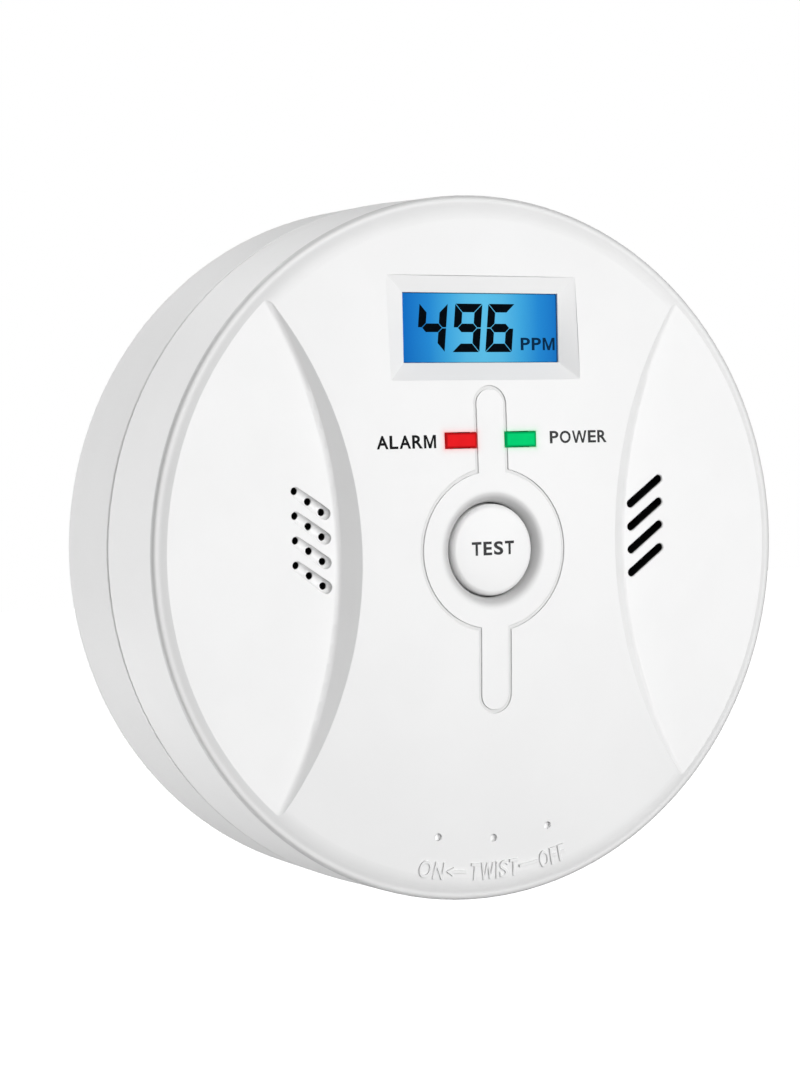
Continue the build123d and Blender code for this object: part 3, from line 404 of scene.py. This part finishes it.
def woven_screen():
    """Blackened steel gauze: crossed wires in relief."""
    finish = Finish("blackened_gauze", Roughness=0.6, Specular_IOR_Level=0.1)
    waves = []
    for name in ("X", "Z"):
        turn = finish.maths("MULTIPLY", finish.axis(name), math.tau / (0.5 * MM))
        waves.append(finish.maths("ABSOLUTE", finish.maths("SINE", turn)))
    wires = finish.maths("MAXIMUM", *waves)
    finish.set(Base_Color=finish.mix(wires, (0.002, 0.002, 0.002), (0.02, 0.02, 0.02)))
    finish.bump(wires, 0.08)
    return finish


def foam():
    """Black open-cell foam."""
    finish = Finish("gasket_foam", Roughness=0.95, Specular_IOR_Level=0.15)
    pores = finish.cells(0.5)
    finish.set(Base_Color=finish.mix(pores, (0.004, 0.004, 0.004), (0.03, 0.03, 0.03)))
    finish.bump(pores, 0.15)
    return finish


def wound_copper():
    """Enamelled wire in close turns."""
    finish = Finish("enamelled_wire", Metallic=0.9, Roughness=0.28)
    turns = finish.maths("SINE", finish.maths("MULTIPLY", finish.axis("Y"), math.tau / (0.35 * MM)))
    finish.set(Base_Color=finish.mix(turns, (0.35, 0.10, 0.03), (0.72, 0.27, 0.10)))
    finish.bump(turns, 0.06)
    return finish


FINISHES = {
    "white_plastic": white_cover(),
    # The base's white is set darker than the cover's: painted shade for the darker band behind the parting
    # line
    "base_plastic": moulded("base_abs", (0.77, 0.77, 0.77), 0.46, 0.4, 0.004),
    "button_plastic": moulded("button_abs", (0.86, 0.86, 0.86), 0.38, 0.3, 0.002),
    "chassis_plastic": moulded("chassis_abs", (0.66, 0.66, 0.64), 0.5, 0.45, 0.006),
    "black_plastic": moulded("black_pbt", (0.006, 0.006, 0.007), 0.6, 0.3, 0.006, shine=0.08),
    "grey_plastic": moulded("grey_acetal", (0.25, 0.25, 0.26), 0.35, 0.3, 0.003),
    "display_glass": lit_display(),
    "light_guide": moulded("frosted_acrylic", (0.62, 0.8, 0.92), 0.25, 0.2, 0.004),
    "red_lens": lens("red_light", RED, -LIGHT_X),
    "green_lens": lens("green_light", GREEN, LIGHT_X),
    "board_laminate": circuit_board(),
    "chip_plastic": moulded("chip_epoxy", (0.022, 0.022, 0.024), 0.55, 0.12, 0.004),
    "tinned_metal": metal("tinned", (0.72, 0.72, 0.70), 0.3, (1, 0.2, 1)),
    "sensor_metal": metal("nickel_can", (0.68, 0.66, 0.62), 0.32, (0.15, 1, 1), 0.5),
    "foam": foam(),
    "elastomer": moulded("zebra_strip", (0.45, 0.43, 0.46), 0.75, 0.2, 0.01),
    "screen_metal": woven_screen(),
    "piezo_brass": metal("brass_disc", (0.78, 0.58, 0.26), 0.34, (1, 1, 0.2), 0.6),
    "capacitor_sleeve": moulded("pvc_sleeve", (0.02, 0.03, 0.07), 0.3, 0.6, 0.004),
    "coil_copper": wound_copper(),
    "chip_parts": moulded("ceramic_chips", (0.32, 0.22, 0.14), 0.5, 0.2, 0.008),
    "cell_jacket": cell_jacket(),
    "spring_steel": metal("spring_wire", (0.56, 0.56, 0.55), 0.3, (1, 0.3, 0.3), 0.3),
    "contact_metal": metal("nickel_strip", (0.7, 0.68, 0.62), 0.28, (0.2, 1, 1), 0.5),
    "red_insulation": moulded("red_pvc", (0.5, 0.02, 0.02), 0.45, 0.4, 0.01),
    "black_insulation": moulded("black_pvc", (0.015, 0.015, 0.015), 0.45, 0.4, 0.01),
    "screw_steel": metal("zinc_screws", (0.62, 0.63, 0.64), 0.3, (1, 1, 0.3), 0.3),
}

slot_of = {part["node"]: part["material_slot"] for part in frame["record"]["subparts"]}
for name, piece in nodes.items():
    piece.data.materials.clear()
    piece.data.materials.append(FINISHES[slot_of[name]].material)
    for face in piece.data.polygons:
        face.material_index = 0


def ink(name, colour, roughness=0.5):
    """Pad-printed ink, slightly uneven."""
    finish = Finish(name, Roughness=roughness, Specular_IOR_Level=0.0)
    patch = finish.span(finish.noise(0.25, 3.0), 0.3, 0.7)
    finish.set(Base_Color=finish.mix(patch, colour, tuple(1.25 * c + 0.001 for c in colour)))
    finish.bump(finish.noise(0.15, 2.0), 0.004)
    return finish.material


# ---------------------------------------------------------------- raised shapes

# In metres: y of a place in front of the whole alarm, and how close points are that become one
IN_FRONT = -0.1
WELD = 1e-7


def surface_under(name):
    """A function giving y on the front of that node at a point (x, z) of the face."""
    mesh = nodes[name].data
    points = [v.co.copy() for v in mesh.vertices]
    tree = BVHTree.FromPolygons(points, [list(p.vertices) for p in mesh.polygons])

    def height(x, z):
        start = Vector((x, IN_FRONT, z))
        return tree.ray_cast(start, Vector((0, 1, 0)))[0].y

    return height


def plate(name, outlines, height_at, rise_mm, sink_mm, material, body):
    """A thin raised shape on a surface: flat outlines (x, z) made into one closed piece."""
    flat = bmesh.new()
    for outline in outlines:
        flat.faces.new([flat.verts.new((x, 0.0, z)) for x, z in outline])
    finish_plate(name, flat, height_at, rise_mm, sink_mm, material, body)


def finish_plate(name, flat, height_at, rise_mm, sink_mm, material, body):
    """Lays a flat sheet of faces on a surface and gives it thickness."""
    bmesh.ops.remove_doubles(flat, verts=flat.verts[:], dist=WELD)
    made = bmesh.ops.extrude_face_region(flat, geom=flat.faces[:], use_keep_orig=True)
    upper = {item for item in made["geom"] if isinstance(item, bmesh.types.BMVert)}
    for vert in flat.verts:
        raise_by = rise_mm if vert in upper else -sink_mm
        vert.co.y = height_at(vert.co.x, vert.co.z) - raise_by * MM
    bmesh.ops.recalc_face_normals(flat, faces=flat.faces[:])
    mesh = bpy.data.meshes.new(name)
    flat.to_mesh(mesh)
    flat.free()
    mesh.materials.append(material)
    piece = bpy.data.objects.new(name, mesh)
    scene.collection.objects.link(piece)
    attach(piece, body)


# Width of each capital against its height, and the built-in font's own height and stroke
GLYPH_WIDTHS = {
    "A": 0.92, "E": 0.72, "F": 0.68, "I": 0.19, "L": 0.68, "M": 0.98, "N": 0.80,
    "O": 0.96, "P": 0.76, "R": 0.84, "S": 0.80, "T": 0.80, "W": 1.30,
}
FONT_HEIGHT = 0.73
FONT_STROKE = 0.085

# Corners inside M and W: heights as shares of the capital's height, and W's foot of its width
INNER_PEAK = 0.74
M_NOTCH = 0.3
W_NOTCH = 0.26
W_FOOT = 0.27

# How deep a raised shape reaches into the surface under it, in mm
SINK = 0.04


def font_glyph(letter, weight):
    """A capital of the built-in font, thickened by weight on each side: its points and faces."""
    curve = bpy.data.curves.new("letter", "FONT")
    curve.body = letter
    curve.offset = weight
    curve.resolution_u = 6
    holder = bpy.data.objects.new("letter", curve)
    scene.collection.objects.link(holder)
    bpy.context.view_layer.update()
    mesh = bpy.data.meshes.new_from_object(holder.evaluated_get(bpy.context.evaluated_depsgraph_get()))
    bpy.data.objects.remove(holder)
    bpy.data.curves.remove(curve)
    points = [tuple(v.co[:2]) for v in mesh.vertices]
    faces = [list(p.vertices) for p in mesh.polygons]
    bpy.data.meshes.remove(mesh)
    return points, faces


def zigzag_glyph(letter, weight):
    """M or W from straight strokes, one high: its points and its one face."""
    wide = GLYPH_WIDTHS[letter]
    bar = (FONT_STROKE + 2 * weight) / FONT_HEIGHT
    middle = wide / 2
    if letter == "M":
        half = [(0, 0), (bar, 0), (bar, INNER_PEAK), (middle - 0.5 * bar, 0)]
        top = [(wide - 1.25 * bar, 1), (middle, M_NOTCH), (1.25 * bar, 1), (0, 1)]
        points = half + [(wide - x, z) for x, z in reversed(half)] + [(wide, 1)] + top
    else:
        foot = W_FOOT * wide
        left = [(0, 1), (foot - 0.5 * bar, 0), (foot + 0.5 * bar, 0), (middle, INNER_PEAK)]
        right = [(wide - x, z) for x, z in reversed(left[:3])]
        inner = [(wide - bar, 1), (wide - foot, W_NOTCH), (middle + 0.5 * bar, 1)]
        points = left + right + inner + [(wide - x, z) for x, z in reversed(inner)]
    return points, [list(range(len(points)))]


def letter_sheet(text, weight, gap):
    """Flat capitals as a bmesh, in a box from 0 to 1 each way."""
    sheet = bmesh.new()
    start = 0.0
    for letter in text:
        points, faces = (zigzag_glyph if letter in "MW" else font_glyph)(letter, weight)
        low = [min(p[i] for p in points) for i in (0, 1)]
        high = [max(p[i] for p in points) for i in (0, 1)]
        wide = GLYPH_WIDTHS[letter]
        verts = [
            sheet.verts.new((
                start + wide * (x - low[0]) / (high[0] - low[0]),
                (z - low[1]) / (high[1] - low[1]),
                0.0,
            ))
            for x, z in points
        ]
        for face in faces:
            sheet.faces.new([verts[i] for i in face])
        start += wide + gap
    for vert in sheet.verts:
        vert.co.x /= start - gap
    return sheet


def label(name, text, box, height_at, rise_mm, material, body,
          *, weight, gap, place=None, sink_mm=SINK):
    """A word fitted to a box (left, right, low, high) in mm; place bends it to another path."""
    sheet = letter_sheet(text, weight, gap)
    left, right, low, high = box
    for vert in sheet.verts:
        u = left + vert.co.x * (right - left)
        v = low + vert.co.y * (high - low)
        x, z = place(u, v) if place else (u, v)
        vert.co = (x * MM, 0.0, z * MM)
    finish_plate(name, sheet, height_at, rise_mm, sink_mm, material, body)


# ---------------------------------------------------------------- lettering of the face

FACE_INK = ink("black_print", (0.012, 0.012, 0.013))
SOFT_INK = ink("grey_print", (0.05, 0.05, 0.052))
SEGMENT_INK = ink("display_segments", (0.0015, 0.003, 0.005), 0.35)
NAVY_INK = ink("display_small_print", (0.003, 0.022, 0.06), 0.35)

cover_at = surface_under("front_cover")
button_at = surface_under("test_button")
panel_at = surface_under("lcd_panel")

INK_RISE = 0.02
SEGMENT_RISE = 0.015
SEGMENT_SINK = 0.02
label("test_print", "TEST", (-3.45, 3.35, -0.72, 1.2), button_at, INK_RISE, SOFT_INK,
      "test_button_body", weight=0.028, gap=0.17)
label("alarm_print", "ALARM", (-17.8, -8.72, 14.5, 16.35), cover_at, INK_RISE, FACE_INK,
      "alarm_head", weight=0.024, gap=0.1)
label("power_print", "POWER", (9.67, 19.38, 14.8, 16.57), cover_at, INK_RISE, SOFT_INK,
      "alarm_head", weight=0.022, gap=0.13)

# The display's numbers: three digits of seven mitred segments, leaning to the right.
DIGIT_LOW = 27.9
DIGIT_HEIGHT = 6.8
STROKE = 1.2
MITRE_GAP = 0.07
LEAN = math.tan(math.radians(5.5))
SEGMENTS = {"4": "fgbc", "9": "abcdfg", "6": "acdefg"}


def segment_outlines(width):
    """The seven segments' corners in an upright box of that width."""
    w, h, s, g = width, DIGIT_HEIGHT, STROKE, MITRE_GAP
    mid = h / 2
    half = s / 2
    top = [(g, h), (w - g, h), (w - s - g, h - s), (s + g, h - s)]
    upper_left = [(0, h - g), (0, mid + g), (half, mid + g), (s, mid + half + g), (s, h - s - g)]
    middle = [
        (half + g, mid), (s + g, mid + half), (w - s - g, mid + half),
        (w - half - g, mid), (w - s - g, mid - half), (s + g, mid - half),
    ]

    def mirrored(points, across, over):
        return [(w - x if across else x, h - z if over else z) for x, z in points]

    return {
        "a": top, "d": mirrored(top, False, True), "g": middle,
        "f": upper_left, "b": mirrored(upper_left, True, False),
        "e": mirrored(upper_left, False, True), "c": mirrored(upper_left, True, True),
    }


def digit(name, figure, left, right):
    """One leaning digit of the display between two places across it, in mm."""
    lean_out = LEAN * DIGIT_HEIGHT
    shapes = segment_outlines(right - left - lean_out)
    outlines = [
        [((left + x + LEAN * z) * MM, (DIGIT_LOW + z) * MM) for x, z in shapes[key]]
        for key in SEGMENTS[figure]
    ]
    plate(name, outlines, panel_at, SEGMENT_RISE, SEGMENT_SINK, SEGMENT_INK, "alarm_head")


digit("display_digit_1", "4", -10.29, -5.18)
digit("display_digit_2", "9", -4.62, 0.39)
digit("display_digit_3", "6", 0.7, 5.65)
label("display_unit", "PPM", (6.5, 12.12, 28.16, 29.94), panel_at, SEGMENT_RISE, NAVY_INK,
      "alarm_head", weight=0.022, gap=0.14, sink_mm=SEGMENT_SINK)

# The moulded legend below the face: on an arc round the detector's axis.
LEGEND_RADIUS = 47.2
LEGEND_LOW, LEGEND_HIGH = 0.15, 2.65
LEGEND_HALF_STROKE = 0.24
ARROW_HALF_WIDTH = 0.65
RAISED = 0.22


def on_arc(u, v):
    """u runs to the right along the arc, v towards the axis."""
    turn = u / LEGEND_RADIUS
    reach = LEGEND_RADIUS - v
    return reach * math.sin(turn), -reach * math.cos(turn)


def arc_run(x):
    """How far along the arc the middle of a letter lies that is x to the right of the axis."""
    return LEGEND_RADIUS * math.asin(x / (LEGEND_RADIUS - LEGEND_HIGH / 2))


WHITE = FINISHES["white_plastic"].material
for key, word, left, right in (
    ("legend_on", "ON", -11.85, -7.9),
    ("legend_twist", "TWIST", -3.65, 4.06),
    ("legend_off", "OFF", 7.68, 11.95),
):
    label(key, word, (arc_run(left), arc_run(right), LEGEND_LOW, LEGEND_HIGH), cover_at, RAISED,
          WHITE, "alarm_head", weight=0.02, gap=0.18, place=on_arc)


def raised_mark(name, points):
    """A raised white mark from its corners (u, v) along and across the arc."""
    outline = [tuple(c * MM for c in on_arc(u, v)) for u, v in points]
    plate(name, [outline], cover_at, RAISED, SINK, WHITE, "alarm_head")


middle = (LEGEND_LOW + LEGEND_HIGH) / 2
lower, upper = middle - LEGEND_HALF_STROKE, middle + LEGEND_HALF_STROKE
tip, neck, tail = arc_run(-7.58), arc_run(-6.5), arc_run(-4.33)
barbs = [(neck, middle - ARROW_HALF_WIDTH), (neck, middle + ARROW_HALF_WIDTH)]
shaft = [(neck, lower), (tail, lower), (tail, upper), (neck, upper)]
raised_mark("legend_arrow", [(tip, middle), barbs[0], *shaft, barbs[1]])
start, end = arc_run(4.3), arc_run(7.27)
raised_mark("legend_dash", [(start, lower), (end, lower), (end, upper), (start, upper)])

# ---------------------------------------------------------------- stage, lights, camera

# Where the surround's light starts to fade and where it ends: -1 is in front, 1 behind the wall
SURROUND_FADE = (-0.2, 0.5)
SURROUND_STRENGTH = 0.16
FLOOR_HEIGHT = -0.45
FLOOR_HALF = 6.0
LIGHT_TARGET = (0, -0.02, 0)
SOFTBOX_DISTANCE = 1.6
SOFTBOX_SIDE = 0.9
LENS_LENGTH = 74.55
SENSOR_WIDTH = 36.0
CAMERA_PLACE = (-0.156147, -0.315699, 0.015391)
# The camera's direction from what it looks at, as azimuth and elevation, and its roll, in degrees
CAMERA_ANGLES = (-26.992, 2.619, -1.251)


def studio_world(front):
    """A surround that the camera sees white. Its soft light comes from in front and fades out behind."""
    world = bpy.data.worlds.new("studio")
    scene.world = world
    world.use_nodes = True
    tree = world.node_tree
    lit = tree.nodes["Background"]
    lit.inputs["Color"].default_value = (1, 1, 1, 1)
    way = tree.nodes.new("ShaderNodeSeparateXYZ")
    tree.links.new(tree.nodes.new("ShaderNodeTexCoord").outputs["Generated"], way.inputs[0])
    fade = tree.nodes.new("ShaderNodeMapRange")
    fade.interpolation_type = "SMOOTHSTEP"
    tree.links.new(way.outputs["Y"], fade.inputs[0])
    for socket, value in zip(fade.inputs[1:5], (*SURROUND_FADE, front, 0.0)):
        socket.default_value = value
    tree.links.new(fade.outputs[0], lit.inputs["Strength"])
    seen = tree.nodes.new("ShaderNodeBackground")
    seen.inputs["Color"].default_value = (1, 1, 1, 1)
    path = tree.nodes.new("ShaderNodeLightPath")
    choose = tree.nodes.new("ShaderNodeMixShader")
    tree.links.new(path.outputs["Is Camera Ray"], choose.inputs[0])
    tree.links.new(lit.outputs[0], choose.inputs[1])
    tree.links.new(seen.outputs[0], choose.inputs[2])
    tree.links.new(choose.outputs[0], tree.nodes["World Output"].inputs["Surface"])


def pale_floor():
    """A plain white floor, well below the alarm."""
    finish = Finish("floor_white", Base_Color=(0.9, 0.9, 0.9), Roughness=0.9)
    patch = finish.span(finish.noise(60.0, 2.0), 0.3, 0.7, 0.98, 1.0)
    finish.set(Emission_Color=finish.mix(patch, (0.98, 0.98, 0.98), (1, 1, 1)), Emission_Strength=1.1)
    sheet = bmesh.new()
    bmesh.ops.create_grid(sheet, x_segments=4, y_segments=4, size=FLOOR_HALF)
    mesh = bpy.data.meshes.new("floor")
    sheet.to_mesh(mesh)
    sheet.free()
    mesh.materials.append(finish.material)
    floor = bpy.data.objects.new("floor", mesh)
    floor.location = (0, 0, FLOOR_HEIGHT)
    floor.visible_diffuse = floor.visible_glossy = floor.visible_shadow = False
    scene.collection.objects.link(floor)


def softbox(name, azimuth, elevation, strength):
    """A flat light aimed at the alarm. Azimuth 0 is straight in front, 90 to the right."""
    lamp = bpy.data.lights.new(name, "AREA")
    lamp.shape = "RECTANGLE"
    lamp.size = lamp.size_y = SOFTBOX_SIDE
    lamp.energy = strength
    holder = bpy.data.objects.new(name, lamp)
    a, e = math.radians(azimuth), math.radians(elevation)
    way = Vector((math.sin(a) * math.cos(e), -math.cos(a) * math.cos(e), math.sin(e)))
    holder.location = Vector(LIGHT_TARGET) + way * SOFTBOX_DISTANCE
    holder.rotation_mode = "QUATERNION"
    holder.rotation_quaternion = way.to_track_quat("Z", "Y")
    scene.collection.objects.link(holder)


# Name, azimuth, elevation and strength
SOFTBOXES = (
    ("key_light", 27, 2, 15.6),
    ("upper_light", 0, 25, 9.1),
    ("side_light", -120, 5, 4.2),
    ("rear_top_light", -150, 55, 19.7),
    ("low_side_light", -100, -45, 9.2),
    ("low_rear_light", -130, -30, 14.0),
)
studio_world(SURROUND_STRENGTH)
pale_floor()
for box in SOFTBOXES:
    softbox(*box)


def camera():
    """The camera, set level and then rolled."""
    data = bpy.data.cameras.new("camera")
    data.lens = LENS_LENGTH
    data.sensor_width = SENSOR_WIDTH
    data.clip_start, data.clip_end = 0.02, 50.0
    holder = bpy.data.objects.new("camera", data)
    scene.collection.objects.link(holder)
    scene.camera = holder
    azimuth, elevation, roll = (math.radians(a) for a in CAMERA_ANGLES)
    back = Vector((
        math.sin(azimuth) * math.cos(elevation),
        -math.cos(azimuth) * math.cos(elevation),
        math.sin(elevation),
    ))
    level = Vector((math.cos(azimuth), math.sin(azimuth), 0.0))
    up = back.cross(level)
    right = math.cos(roll) * level + math.sin(roll) * up
    upright = -math.sin(roll) * level + math.cos(roll) * up
    turn = Matrix((right, upright, back)).transposed()
    holder.matrix_world = Matrix.Translation(CAMERA_PLACE) @ turn.to_4x4()


camera()
